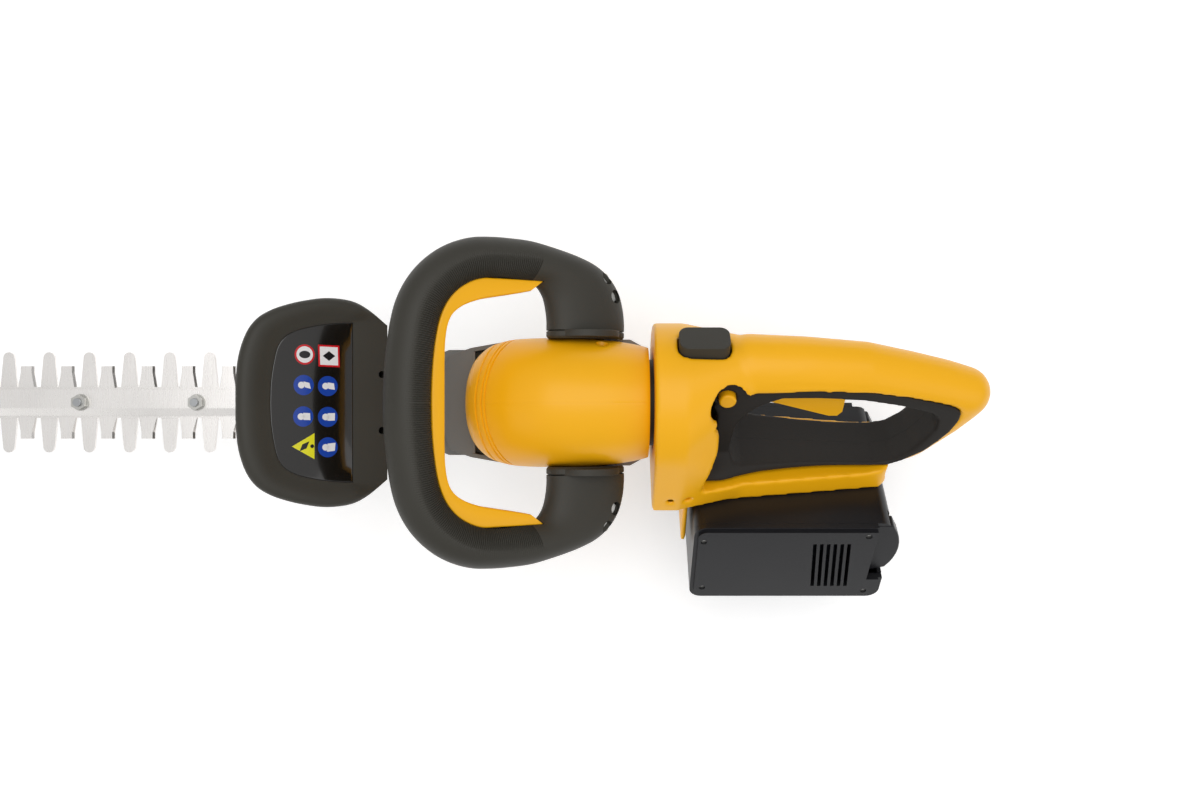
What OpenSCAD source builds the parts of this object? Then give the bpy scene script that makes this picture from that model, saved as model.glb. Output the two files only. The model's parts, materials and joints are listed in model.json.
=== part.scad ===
// Cordless hedge trimmer: double-acting blades, wrap-round front handle, swivelling rear handle.
// Millimetres, +Z up. X runs along the tool: the blades point to -X, the rear handle to +X.
// Origin: where the crank axis meets the flat underside of the gear case cover.
// The rear handle is modelled upright about the tool axis and then swivelled by rear_tilt.

/* [Layout] */
// Height of the tool axis (the swivel axis) above the flat underside
axis_h = 60; // [60:0.5:61]
// Swivel of the rear handle away from upright, as modelled
rear_tilt = 45; // [0:45:90]
// Front face of the rear handle casing
rear_x = 103; // [103:0.5:104]

/* [Blades] */
// Reach of the blades ahead of the crank axis
blade_reach = 690; // [600:30:750]
// Distance from tooth to tooth
tooth_pitch = 30; // [28:1:32]
// Half width over the long blunt teeth
long_reach = 37.5; // [34:0.5:42]
// Half width over the short cutting teeth
short_reach = 27; // [24:0.5:30]
// Half width of the strip that carries the teeth
strip_half = 11.5; // [10:0.5:12]
// Thickness of each blade
blade_t = 2.5; // [2:0.1:2.6]
// Travel of each blade to either side of its middle position
half_stroke = 7.5; // [6:0.5:7.5]
// Spacing of the studs that hold the blades to the guide bar
stud_pitch = 86; // [80:1:90]

/* [Front handle] */
// Radius of the wrap-round handle tube
tube_r = 15.5; // [14:0.5:16]
// Half width of the loop, measured to the middle of the tube
loop_half = 95; // [90:1:100]
// Length of the loop from its arms to its front bar, in its own plane
loop_len = 130.5; // [126:0.5:132]
// Rise of the loop's plane towards the front
loop_rise = 30; // [25:1:32]

/* [Guard] */
// Rise of the guard towards the blade tips
guard_rise = 30; // [29.5:0.1:30.2]

/* [Rear handle] */
// Radius of the casing around the swivel
bell_r = 55.5; // [54:0.5:58]
// Half thickness of the rubber grip ring
ring_half = 20.5; // [19:0.5:21]
// Travel of the trigger in degrees
trigger_travel = 10; // [6:1:10]

/* [Battery] */
// Length of the battery pack
pack_len = 141; // [135:1:142]
// Half width of the battery pack
pack_half = 64; // [60:1:66]
// Height of the battery pack below its top face
pack_h = 81; // [76:1:84]

/* [Hidden] */

yellow = [0.94, 0.71, 0.08];
dark = [0.24, 0.24, 0.22];
mid_grey = [0.36, 0.36, 0.35];
rubber_black = [0.20, 0.19, 0.18];
pack_black = [0.17, 0.17, 0.18];
steel = [0.82, 0.81, 0.79];
bright = [0.70, 0.71, 0.72];
copper = [0.72, 0.45, 0.20];
big = 900;

// ---- heights of the drive train, from the underside up
cover_t = 3;
lower_z = 4;
upper_z = lower_z + blade_t + 0.3;
bar_z = upper_z + blade_t + 0.3;
bar_t = 3.6;
bar_half = 9.9;
case_top = 23;
gear_z = 10;
gear_t = 8;
fit = 0.05;

// ---- gear pair
gear_teeth = 60;
pinion_teeth = 12;
gear_r = gear_teeth / 2;
pinion_r = pinion_teeth / 2;
motor_x = gear_r + pinion_r;
axle_r = 5;
ecc_r = 13.5;
motor_r = 22;
motor_top = 78;
shaft_r = 2.5;

// ---- blades
first_tooth = 165;
tooth_count = floor((blade_reach - first_tooth - 15) / tooth_pitch) + 1;
first_stud = 232;
stud_count = floor((blade_reach - 20 - first_stud) / stud_pitch) + 1;
stud_r = 3;
slot_half_x = ecc_r + 2 * half_stroke + 0.5;
slot_half_y = ecc_r + half_stroke + 0.5;
tail_half_x = slot_half_x + 7;
tail_half_y = slot_half_y + 6.5;

// ---- front handle, in the loop's own plane
arm_x = 56;
corner_r = 53;
bow_r = 270;
bow_turn = 11.1;
lever_in = 18;
lever_tall = 9;
lever_travel = 4;

// ---- rear handle, upright frame, heights from the tool axis
dock_top = -43;
dock_low = -62;
pack_x = 133;
pack_top = dock_low - 0.3;
button_x = 152;
button_z = 25;
trig_x = 174;
trig_z = 26;
lock_x = 136;

// ---- helpers
function arc(cx, cy, r, a0, a1, n = 6) =
    [for (i = [0 : n]) let (a = a0 + (a1 - a0) * i / n) [cx + r * cos(a), cy + r * sin(a)]];
function rounded(x0, y0, x1, y1, r, n = 6) = concat(
    arc(x1 - r, y1 - r, r, 0, 90, n), arc(x0 + r, y1 - r, r, 90, 180, n),
    arc(x0 + r, y0 + r, r, 180, 270, n), arc(x1 - r, y0 + r, r, 270, 360, n));
function mirrored(pts) = concat(pts, [for (i = [len(pts) - 1 : -1 : 0]) [pts[i][0], -pts[i][1]]]);

module box(x0, x1, y0, y1, z0, z1) translate([x0, y0, z0]) cube([x1 - x0, y1 - y0, z1 - z0]);
module mid_box(x0, x1, half_y, z0, z1) box(x0, x1, -half_y, half_y, z0, z1);
module x_cyl(r, x0, x1) translate([x0, 0, 0]) rotate([0, 90, 0]) cylinder(r = r, h = x1 - x0, $fn = 96);
module y_cyl(r, x, z, y0, y1) translate([x, y1, z]) rotate([90, 0, 0]) cylinder(r = r, h = y1 - y0, $fn = 48);
module z_cyl(r, x, y, z0, z1) translate([x, y, z0]) cylinder(r = r, h = z1 - z0, $fn = 64);
module side_slab(half_y) rotate([90, 0, 0]) linear_extrude(2 * half_y, center = true) children();
module plan_slab(z0, z1) translate([0, 0, z0]) linear_extrude(z1 - z0) children();
module ball(x, y, z, r) translate([x, y, z]) sphere(r = r, $fn = 28);
module keep_side(side) intersection() {
    children();
    box(-big, big, side > 0 ? 0 : -big, side > 0 ? big : 0, -big, big);
}
module rear_frame() translate([0, 0, axis_h]) rotate([-rear_tilt, 0, 0]) children();
module loop_frame() translate([arm_x, 0, axis_h + 2]) rotate([0, loop_rise, 0]) children();
module guard_frame() translate([-87, 0, axis_h - 22]) rotate([0, guard_rise, 0]) children();
module ring(r_out, r_in, x, y, z0, z1) difference() {
    z_cyl(r_out, x, y, z0, z1);
    z_cyl(r_in, x, y, z0 - 1, z1 + 1);
}

// ---- drive train ------------------------------------------------------------------------

// Teeth as plain wedges with backlash, phase in tooth steps
module gear_outline(teeth, root, tip, phase) {
    step = 360 / teeth;
    polygon([for (i = [0 : teeth - 1]) let (a = (i + phase) * step)
        each [[root * cos(a - step * 0.30), root * sin(a - step * 0.30)],
              [tip * cos(a - step * 0.11), tip * sin(a - step * 0.11)],
              [tip * cos(a + step * 0.11), tip * sin(a + step * 0.11)],
              [root * cos(a + step * 0.30), root * sin(a + step * 0.30)]]]);
}

module crank_gear() color(bright) difference() {
    union() {
        plan_slab(gear_z, gear_z + gear_t) gear_outline(gear_teeth, gear_r - 1.0, gear_r + 0.8, 0.5);
        z_cyl(ecc_r, 0, half_stroke, upper_z - 0.1, gear_z + 0.5);
        z_cyl(ecc_r, 0, -half_stroke, lower_z + 0.2, upper_z - 0.1);
    }
    z_cyl(axle_r + fit, 0, 0, 0, 30);
    ring(24, 17, 0, 0, gear_z + 5, gear_z + 12);
}

module drive_pinion() color(bright) difference() {
    translate([motor_x, 0, 0]) plan_slab(gear_z, gear_z + gear_t + 0.4)
        gear_outline(pinion_teeth, pinion_r - 1.2, pinion_r + 0.8, 0);
    z_cyl(shaft_r, motor_x, 0, 0, 40);
}

module gear_axle() color(bright) {
    z_cyl(axle_r, 0, 0, cover_t + 0.1, case_top - 0.1);
}

module axle_clip() color(steel) ring(8, axle_r + 0.02, 0, 0, cover_t + 0.3, lower_z);

module motor_can() color(bright) difference() {
    z_cyl(motor_r, motor_x, 0, case_top + 0.2, motor_top);
    z_cyl(motor_r - 2, motor_x, 0, case_top + 3, motor_top - 3);
    z_cyl(6.02, motor_x, 0, 0, 100);
    for (a = [0 : 60 : 300]) translate([motor_x + 14 * cos(a), 14 * sin(a), motor_top - 4])
        cylinder(r = 3, h = 6, $fn = 24);
}

module motor_magnets() color(dark) difference() {
    ring(motor_r - 2.05, 17, motor_x, 0, 32, 70);
    for (s = [-1, 1]) translate([motor_x, s * 18, 0]) box(-3, 3, -4, 4, 20, 80);
}

module motor_armature() color(copper) difference() {
    union() {
        z_cyl(16.3, motor_x, 0, 34, 68);
        z_cyl(8, motor_x, 0, 68, 73);
    }
    z_cyl(shaft_r, motor_x, 0, 0, 100);
    for (i = [0 : 11]) translate([motor_x, 0, 0]) rotate([0, 0, i * 30]) box(12, 20, -0.8, 0.8, 30, 67);
}

module motor_shaft() color(steel) z_cyl(shaft_r, motor_x, 0, gear_z - 0.2, 92);

module bearing_at(z0, z1) color(steel) ring(6, shaft_r + fit, motor_x, 0, z0, z1);
module bearing_lower() bearing_at(case_top + 0.2, case_top + 5);
module bearing_upper() bearing_at(motor_top - 4, motor_top + 1);

module cooling_fan() color(dark) difference() {
    union() {
        z_cyl(19, motor_x, 0, 82, 84);
        z_cyl(5.5, motor_x, 0, 82, 91);
        for (i = [0 : 8]) translate([motor_x, 0, 0]) rotate([0, 0, i * 40]) box(5, 18, -0.8, 0.8, 83, 90);
    }
    z_cyl(shaft_r, motor_x, 0, 0, 100);
}

module gear_case_outline() polygon(mirrored(concat(
    [[-112, 16], [-106, 22], [-62, 24], [-50, 36]], [[-44, 38.5], [52, 38.5]], arc(52, 32.5, 6, 90, 0, 4))));

module bar_screw_spots(r, z0, z1) for (x = [-66, -78]) z_cyl(r, x, 0, z0, z1);

module gear_case() color(mid_grey) difference() {
    plan_slab(cover_t, case_top) gear_case_outline();
    mid_box(-tail_half_x - half_stroke - 1, tail_half_x + half_stroke + 1, tail_half_y + 0.8, 0, gear_z - 0.2);
    mid_box(-120, -40, strip_half + 0.6, 0, bar_z - 0.05);
    mid_box(-120, -54, bar_half + 0.05, 0, bar_z + bar_t + 0.05);
    z_cyl(gear_r + 2.5, 0, 0, gear_z - 1, case_top - 3);
    z_cyl(9, motor_x, 0, gear_z - 1, case_top + 1);
    z_cyl(axle_r + 0.02, 0, 0, 0, 40);
    bar_screw_spots(2.55, bar_z, 40);
}

module gear_case_cover() color(mid_grey) difference() {
    plan_slab(0, cover_t) gear_case_outline();
    for (x = [-56, 46], s = [-1, 1]) z_cyl(2.2, x, s * (x < 0 ? 18 : 34), -1, 10);
    for (x = [-42, -26, 20, 36]) mid_box(x, x + 6, 20, -1, 0.8);
}

// ---- blades ---------------------------------------------------------------------------

module tooth(x, reach, base_w, tip_w, side) {
    tip = tip_w / 2;
    polygon([[x - base_w / 2, side * (strip_half - 1)], [x - tip, side * (reach - tip)],
        [x + tip, side * (reach - tip)], [x + base_w / 2, side * (strip_half - 1)]]);
}

// Strip with teeth on both sides, a yoke frame round the crank at its tail and a rounded nose
module blade_outline(reach, base_w, tip_w, shift, round_tip) difference() {
    union() {
        polygon(mirrored(concat([[-30, strip_half], [-blade_reach + strip_half, strip_half]],
            arc(-blade_reach + strip_half, 0, strip_half, 90, 180, 6))));
        polygon(rounded(-tail_half_x, -tail_half_y, tail_half_x, tail_half_y, 8));
        for (i = [0 : tooth_count - 1], side = [-1, 1]) {
            x = -first_tooth - i * tooth_pitch + shift;
            tooth(x, reach, base_w, tip_w, side);
            if (round_tip) translate([x, side * (reach - tip_w / 2)]) circle(r = tip_w / 2, $fn = 24);
            else translate([x - tip_w / 2, side * (reach - tip_w / 4) - tip_w / 4]) square([tip_w, tip_w / 2]);
        }
    }
    polygon(rounded(-slot_half_x, -slot_half_y, slot_half_x, slot_half_y, 6));
    for (i = [0 : stud_count - 1]) translate([-first_stud - i * stud_pitch, 0]) {
        square([2 * half_stroke + 1, 2 * stud_r + 0.8], center = true);
        for (s = [-1, 1]) translate([s * (half_stroke + 0.5), 0]) circle(r = stud_r + 0.4, $fn = 32);
    }
}

module upper_blade() color(steel)
    plan_slab(upper_z, upper_z + blade_t) blade_outline(short_reach, 13.4, 9.6, -tooth_pitch / 2, false);

module lower_blade() color(steel)
    plan_slab(lower_z, lower_z + blade_t) blade_outline(long_reach, 12.6, 8.4, 0, true);

module guide_bar() color(steel) difference() {
    plan_slab(bar_z, bar_z + bar_t) polygon(mirrored(concat(
        [[-55, bar_half], [-blade_reach + 4 + bar_half, bar_half]],
        arc(-blade_reach + 4 + bar_half, 0, bar_half, 90, 180, 6))));
    for (i = [0 : stud_count - 1]) z_cyl(stud_r + 0.02, -first_stud - i * stud_pitch, 0, 0, 20);
    bar_screw_spots(2.55, 0, 40);
}

// Screws that hold the guide bar up against the roof of the gear case
module bar_screws() color(bright) {
    bar_screw_spots(2.5, bar_z + 0.2, case_top + 0.2);
    bar_screw_spots(4.2, case_top + 0.1, case_top + 4.5);
}

// Shouldered screws with broad heads under the blades
module blade_studs() color(steel) for (i = [0 : stud_count - 1]) {
    z_cyl(stud_r, -first_stud - i * stud_pitch, 0, lower_z - 1, bar_z + bar_t + 7.5);
    z_cyl(7, -first_stud - i * stud_pitch, 0, lower_z - 2.6, lower_z - 0.3);
}

module blade_nuts() color(bright) for (i = [0 : stud_count - 1]) difference() {
    translate([-first_stud - i * stud_pitch, 0, bar_z + bar_t]) union() {
        cylinder(r = 6.2, h = 1, $fn = 48);
        rotate([0, 0, 30]) cylinder(r = 5.8, h = 5.4, $fn = 6);
    }
    z_cyl(stud_r + 0.02, -first_stud - i * stud_pitch, 0, 0, 40);
}

// ---- front housing ----------------------------------------------------------------------

base_split = 44;

module base_outline(inset) polygon(mirrored(concat(
    [[-47 + inset, 20], [-42 + inset, 34 - inset], [-26, 39 - inset], [8, 45 - inset]],
    [[88 - inset, 45 - inset], [97 - inset, 40 - inset]])));

module nose_ramp() side_slab(60) polygon([[-60, 34], [-44, 34], [-20, 46], [-60, 46]]);

module base_housing() color(mid_grey) difference() {
    union() {
        difference() {
            plan_slab(case_top + 0.2, base_split - 0.1) base_outline(0);
            nose_ramp();
        }
        difference() {
            translate([0, 0, axis_h]) x_cyl(39, 90, 100);
            mid_box(80, 110, 60, base_split - 0.1, 120);
        }
    }
    difference() {
        plan_slab(case_top - 1, base_split + 1) base_outline(3);
        translate([-2.6, 0, -2.6]) nose_ramp();
    }
    translate([0, 0, axis_h]) x_cyl(36, 80, 97);
    translate([0, 0, axis_h]) x_cyl(30.05, 80, 110);
}

// Rounded shell over the motor with a blunt nose; shrink makes the form of its inside
module cover_form(shrink) hull() {
    ball(35, 0, axis_h + 2, 45 - shrink);
    for (s = [-1, 1]) ball(4, s * 12, axis_h - 2, 31 - shrink);
    translate([0, 0, axis_h]) x_cyl(39 - shrink, 90, 100 - shrink);
}

// Two screws join the halves, driven in from the left
module cover_screw_spots(r, y0, y1) for (p = [[68, 76], [-5, 60]]) y_cyl(r, p[0], p[1], y0, y1);

module motor_cover(side) color(yellow) keep_side(side) difference() {
    union() {
        difference() {
            cover_form(0);
            cover_form(3);
        }
        intersection() {
            cover_form(1);
            cover_screw_spots(6.5, -60, 60);
        }
    }
    mid_box(-60, 120, 60, -10, base_split + 0.1);
    translate([0, 0, axis_h]) x_cyl(30.05, 80, 110);
    cover_screw_spots(4.4, 33, 60);
    cover_screw_spots(2.25, -31, 34);
}
module motor_cover_left() motor_cover(1);
module motor_cover_right() motor_cover(-1);

module cover_screws() color(steel) {
    cover_screw_spots(2.2, -30, 33.2);
    cover_screw_spots(4, 33.1, 35.5);
}

// Tube with a disc at each end: the front disc is clamped in the motor housing, the rear one
// turns in the rear handle. Five notches inside take the lock tooth.
module swivel_hub() color(dark) difference() {
    translate([0, 0, axis_h]) union() {
        x_cyl(30, 93.2, 122);
        x_cyl(35.5, 93.2, 96.8);
        x_cyl(36, 106.4, 109.6);
    }
    translate([0, 0, axis_h]) x_cyl(24, 80, 130);
    for (a = [-90 : 45 : 90]) translate([0, 0, axis_h]) rotate([a, 0, 0]) mid_box(116, 124, 3, 20, 27);
}

// ---- guard -------------------------------------------------------------------------------

// Half outline of the guard, from its foot (x = 0) up to its rim
function guard_points(inset) = concat([[0, 55 - inset]],
    arc(-32, 47, 26 - inset, 52, 90, 4), arc(-44, 47, 26 - inset, 90, 105, 2),
    arc(-82, 38, 22.5 - inset, 110, 168, 5), [[-106.2 + inset, 12]]);

// Half outline of the label: straight towards the user, bowed towards the blades
function label_points(inset) = concat([[-25.6 - inset, 55.5 - inset]],
    arc(-66, 37, 11.5 - inset, 98, 172, 5), [[-81.4 + inset, 10]]);

module guard() color(dark) guard_frame() difference() {
    union() {
        plan_slab(0, 3.5) polygon(mirrored(guard_points(0)));
        plan_slab(0, 8) difference() {
            polygon(mirrored(guard_points(0)));
            polygon(mirrored(guard_points(15)));
        }
        mid_box(-9, 0, 30, -9, 1);
    }
    plan_slab(2.2, 10) polygon(mirrored(label_points(0)));
    for (s = [-1, 1]) z_cyl(2.6, -4.5, s * 20, -20, 10);
}

module guard_label() color([0.05, 0.04, 0.03]) guard_frame()
    plan_slab(2.25, 3.2) polygon(mirrored(label_points(0.2)));

// Wedge between the gear case and the guard's foot
module guard_bracket() color(mid_grey) difference() {
    side_slab(28) polygon([[-106, case_top + 0.1], [-84, case_top + 0.1], [-84, 25.7],
        [-99.3, 34.5], [-106, 34.5]]);
    for (s = [-1, 1]) z_cyl(2.6, -95, s * 20, 0, 60);
}

// ---- wrap-round front handle ----------------------------------------------------------------

front_x = -loop_len;
bow_x = front_x + bow_r;            // middle of the bowed front bar's circle
corner_y = loop_half - corner_r;    // middle of the corner's circle
side_x = bow_x - (bow_r - corner_r) * cos(bow_turn);

// Sweep of a round section round the loop's front: two corners and two side runs, and a bowed
// bar that is a hair thicker and reaches a little way over the corners
module loop_tube(r, rear_end) {
    translate([bow_x, 0, 0]) rotate([0, 0, 179.6 - bow_turn])
        rotate_extrude(angle = 2 * bow_turn + 0.8, $fn = 360) translate([bow_r, 0]) circle(r = r + 0.1, $fn = 48);
    for (s = [0, 1]) mirror([0, s, 0]) {
        translate([side_x, corner_y, 0]) rotate([0, 0, 90])
            rotate_extrude(angle = 90 - bow_turn, $fn = 96) translate([corner_r, 0]) circle(r = r, $fn = 48);
        translate([side_x, loop_half, 0]) rotate([0, 90, 0]) cylinder(r = r, h = rear_end - side_x, $fn = 48);
    }
}

// Broad arm from the side run down to the housing
function arm_points(inset) = [[-26 + inset, 50], [28 - inset, 50], [28 - inset, 62], [24 - inset, 74 - 0.4 * inset],
    [16.5 - 0.8 * inset, 85.5 - 0.7 * inset], [7 - 0.6 * inset, 94 - 0.9 * inset], [-6, 100 - inset],
    [-21, 104.5 - inset], [-42, 109 - inset], [-42, loop_half - tube_r + inset], [-26 + inset, 77]];

module arm_form(inset) for (s = [0, 1]) mirror([0, s, 0])
    plan_slab(-tube_r + 1 + inset, tube_r - 1 - inset) polygon(arm_points(inset));

// U-shaped bar on the inner side of the loop; grow widens it for its slot
module lever_form(grow) {
    mid = lever_in;
    turn = 180 - bow_turn;
    plan_slab(-lever_tall - grow, lever_tall + grow) {
        polygon(concat(arc(bow_x, 0, bow_r - mid + 5 + grow, turn - 0.2, 360.2 - turn, 16),
            arc(bow_x, 0, bow_r - mid - 5 - grow, 360.2 - turn, turn - 0.2, 16)));
        for (s = [0, 1]) mirror([0, s]) {
            polygon(concat(arc(side_x, corner_y, corner_r - mid + 5 + grow, 90, turn, 10),
                arc(side_x, corner_y, corner_r - mid - 5 - grow, turn, 90, 10)));
            translate([side_x, loop_half - mid]) polygon([[-0.5, -5 - grow], [27 + grow, -5 - grow],
                [37 + grow, 5 + grow], [-0.5, 5 + grow]]);
        }
    }
}

module loop_solid() difference() {
    union() {
        loop_tube(tube_r, -41);
        arm_form(0);
    }
    loop_tube(tube_r - 4, -44);
    arm_form(3);
    for (dx = [0 : -1 : -lever_travel]) translate([dx, 0, 0]) lever_form(0.4);
    handle_screw_spots(2.3, -20, 20);
    handle_screw_spots(3.8, 2.6, 20);
}

module handle_screw_spots(r, z0, z1) for (s = [-1, 1]) {
    z_cyl(r, 13, s * 87, z0, z1);
    z_cyl(r, 19, s * 74, z0, z1);
}

module bale_handle_upper() color(dark) loop_frame() intersection() {
    loop_solid();
    box(-big, big, -big, big, 0, big);
}

module bale_handle_lower() color(dark) loop_frame() intersection() {
    loop_solid();
    box(-big, big, -big, big, -big, 0);
}

module handle_screws() color(steel) loop_frame() {
    handle_screw_spots(2.2, -11, 2.8);
    handle_screw_spots(3.6, 2.7, 4.4);
}

// Plates that clamp the arms to the sides of the motor housing
module handle_collars() color(dark) for (s = [-1, 1]) difference() {
    hull() {
        translate([arm_x, s * 47.6, axis_h + 2]) rotate([90, 0, 0]) cylinder(r = 24, h = 4.6, center = true, $fn = 32);
        box(30, 82, s > 0 ? 45.3 : -49.9, s > 0 ? 49.9 : -45.3, 28, 40);
    }
    for (x = [36, 76]) y_cyl(2.3, x, 33, s > 0 ? 44 : -52, s > 0 ? 52 : -44);
}

module front_lever() color(yellow) loop_frame() lever_form(0);

module front_switch() color(rubber_black) loop_frame() mid_box(front_x - 9, front_x + 4, 10, -6, 6);

module lever_springs() color(steel) loop_frame() for (s = [-1, 1])
    translate([front_x, s * 30, 0]) difference() {
        x_cyl(4, 4.6, 14.2);
        x_cyl(2.8, 0, 16);
    }

// ---- rear handle (upright frame) -------------------------------------------------------------

// Outer edge of the rubber ring, seen from the side, with the eyelet of the lock-off button
module ring_outline() {
    polygon([[143, 16], [146.5, 8], [146.5, -5], [140.5, -28], [137, -42], [140, -45], [180, -46],
        [256, -46], [270, -43.5], [281, -38.5], [294.5, -29], [303, -18.5], [309.3, -8.5], [313, 2],
        [313, 9], [308, 13.5], [297.5, 17.6], [272, 24.3], [247.3, 29], [213, 31.4], [180, 30.8],
        [168, 31.2], [161, 34.5]]);
    translate([button_x, button_z + 4]) circle(r = 12.5, $fn = 48);
}

// Opening for the fingers
module finger_outline() polygon([[160, -4], [157, -28], [160, -34], [166, -36], [240, -40.2], [262, -40.8],
    [275, -37.8], [285.5, -28.5], [293, -17], [298.6, -6], [298.6, 3], [293, 9.5], [270, 16.5], [246, 21.4],
    [213, 24], [190, 23.6], [176, 17], [166, 8]]);

module trigger_slot(grow) mid_box(trig_x - 8, 243, 8 + grow, 12, 37);

// Bell round the swivel, spine of the grip, rear column and battery dock
module casing_form() {
    hull() {
        x_cyl(bell_r, rear_x, 124);
        mid_box(rear_x, 122, 47, dock_low, 0);
        ball(168, 0, 31, 22.5);
        mid_box(168, 171, 34, dock_low + 2, dock_top - 3);
    }
    hull() {
        ball(168, 0, 32.5, 24);
        ball(206, 0, 32, 22.6);
        ball(246, 0, 29.5, 21);
        ball(278, 0, 22, 20);
        ball(302, 0, 15.5, 19.3);
        ball(318.2, 0, 10.5, 18.3);
    }
    hull() {
        ball(316, 0, 6, 18);
        ball(306, 0, -8, 18);
        ball(288, 0, -32, 16.4);
        ball(272, 0, -43, 15.5);
        ball(258, 0, -46, 15);
    }
    plan_slab(dock_low, dock_top) polygon(mirrored([[124, 40], [165, 36], [268, 25], [273, 20]]));
    mid_box(126, 129.8, 40, -105, dock_top);
}

module casing(side) color(yellow) keep_side(side) difference() {
    casing_form();
    hull() {
        x_cyl(bell_r - 3, 106, 120);
        mid_box(106, 118, 44, dock_low + 3, 0);
        ball(160, 0, 30, 19.5);
    }
    hull() {
        ball(160, 0, 31, 19.5);
        ball(240, 0, 30, 17.5);
        ball(284, 0, 17, 15.5);
    }
    // hub passage, with a groove for the hub's rear disc
    x_cyl(30.08, 90, 112);
    // seat of the rubber ring, and the battery slide with its two lips
    side_slab(60) ring_outline();
    mid_box(130.5, 330, 19.6, -56, -47);
    mid_box(130.5, 330, 14.6, -70, -55);
    plan_slab(40, 70) polygon(rounded(lock_x - 17.6, -11.3, lock_x + 17.6, 11.3, 7));
    for (x = [116, 128]) y_cyl(2.3, x, -50, -60, 60);
    y_cyl(2.3, 302, 6, -60, 60);
}
module rear_housing_left() rear_frame() casing(1);
module rear_housing_right() rear_frame() casing(-1);

module grip_ring(side) color(rubber_black) keep_side(side) difference() {
    side_slab(ring_half) ring_outline();
    side_slab(60) finger_outline();
    trigger_slot(0.6);
    y_cyl(6.2, button_x, button_z, -60, 18.2);
    y_cyl(2.52, trig_x, trig_z, -15, 15);
    y_cyl(2.3, 302, 6, -12.2, 12.2);
    mid_box(130, 290, 60, -60, dock_top);
}
module grip_ring_left() rear_frame() grip_ring(1);
module grip_ring_right() rear_frame() grip_ring(-1);

module trigger() color(yellow) rear_frame() difference() {
    side_slab(8) polygon([[170, 32], [170, 16], [176, 11], [190, 7], [226, -5], [232, -5], [235, -1],
        [236, 29], [200, 30], [196, 32]]);
    y_cyl(2.55, trig_x, trig_z, -20, 20);
}

module trigger_pin() color(steel) rear_frame() y_cyl(2.5, trig_x, trig_z, -14.8, 14.8);

module trigger_spring() color(steel) rear_frame() difference() {
    z_cyl(3, 184, 0, 32.1, 34.2);
    z_cyl(2, 184, 0, 30, 40);
}

module main_switch() color(rubber_black) rear_frame() {
    mid_box(178, 204, 8, 38.5, 46);
    mid_box(181, 187, 3, 36.4, 38.6);
}

module lock_off_button() color(yellow) rear_frame() {
    y_cyl(5.9, button_x, button_z, -25, 8);
}

module lock_off_spring() color(steel) rear_frame() difference() {
    y_cyl(5, button_x, button_z, 8.1, 13.9);
    y_cyl(4, button_x, button_z, 0, 30);
}

// Push plate on the ridge, with a stem and a tooth that reaches into the hub
module swivel_lock_button() color(dark) rear_frame() {
    plan_slab(47, 61) polygon(rounded(lock_x - 17, -10.7, lock_x + 17, 10.7, 6.5));
    mid_box(126, 133, 4, 16, 48);
    mid_box(117, 127, 2.6, 16, 20);
    mid_box(117, 121.5, 2.6, 19, 23.6);
}

module swivel_lock_spring() color(steel) rear_frame() difference() {
    z_cyl(3.6, 121.5, 0, 40, 46.9);
    z_cyl(2.6, 121.5, 0, 30, 60);
}

module control_board() color([0.10, 0.32, 0.16]) rear_frame() {
    mid_box(107, 118, 36, -46, -44.4);
    mid_box(109, 116, 8, -44.5, -39);
}

module terminal_block() color(rubber_black) rear_frame() {
    mid_box(130.6, 139, 19.4, -55.8, -47.2);
    for (y = [-10, 0, 10]) box(138, 146, y - 0.5, y + 0.5, -54, -49);
}

module rear_screws() color(steel) rear_frame() {
    for (x = [116, 128]) {
        y_cyl(2.2, x, -50, -30, 30);
        y_cyl(2.2, x, -50, -38, -30.1);
    }
    y_cyl(2.2, 302, 6, -12, 12);
}

// ---- battery ---------------------------------------------------------------------------------

pack_end = pack_x + pack_len;
pack_low = pack_top - pack_h;

module pack_outline(inset) polygon(rounded(pack_x + inset, pack_low + inset, pack_end - inset, pack_top - inset, 9 - inset));

module battery_case() color(pack_black) rear_frame() difference() {
    union() {
        side_slab(pack_half - 6.2) pack_outline(0);
        mid_box(142, 262, 14, pack_top - 1, -50);
        mid_box(142, 262, 19, -55.6, -47.6);
    }
    side_slab(pack_half) pack_outline(3);
    for (y = [-10, 0, 10]) box(141, 150, y - 1, y + 1, -54.6, -48.4);
    for (s = [-1, 1]) box(262, 290, s > 0 ? 43 : -58, s > 0 ? 58 : -43, -119, -65);
}

module battery_cover(side) color(pack_black) rear_frame() keep_side(side) difference() {
    intersection() {
        side_slab(pack_half) pack_outline(0);
        union() {
            side_slab(pack_half - 2) pack_outline(0);
            side_slab(pack_half) pack_outline(3);
        }
    }
    side_slab(pack_half - 6.1) pack_outline(-1);
    for (i = [0 : 5]) translate([222 + 4.85 * i, 0, -128]) rotate([0, -5, 0]) mid_box(0, 2.6, 90, 0, 50);
    side_slab(0.1 + pack_half) polygon([[262, -62], [290, -62], [290, -120], [262, -120]]);
    battery_screw_spots(2.3, pack_half - 8, pack_half + 1);
}
module battery_cover_left() battery_cover(1);
module battery_cover_right() battery_cover(-1);

module battery_screw_spots(r, y0, y1) for (p = [[140, -76], [142, -130], [256, -70], [262, -134]], s = [-1, 1])
    y_cyl(r, p[0], p[1], s > 0 ? y0 : -y1, s > 0 ? y1 : -y0);

module battery_screws() color(steel) rear_frame() battery_screw_spots(2.2, pack_half - 6, pack_half - 1.5);

module battery_cells() color([0.30, 0.55, 0.72]) rear_frame()
    for (i = [0 : 6], j = [0 : 3]) if (i + j > 0 && i + j < 9)
        y_cyl(9, pack_x + 13.5 + 19 * i, pack_top - 12.3 - 18.8 * j, -42, 23);

module battery_board() color([0.10, 0.32, 0.16]) rear_frame() box(145, 250, 24, 25.6, -135, -75);

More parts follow.
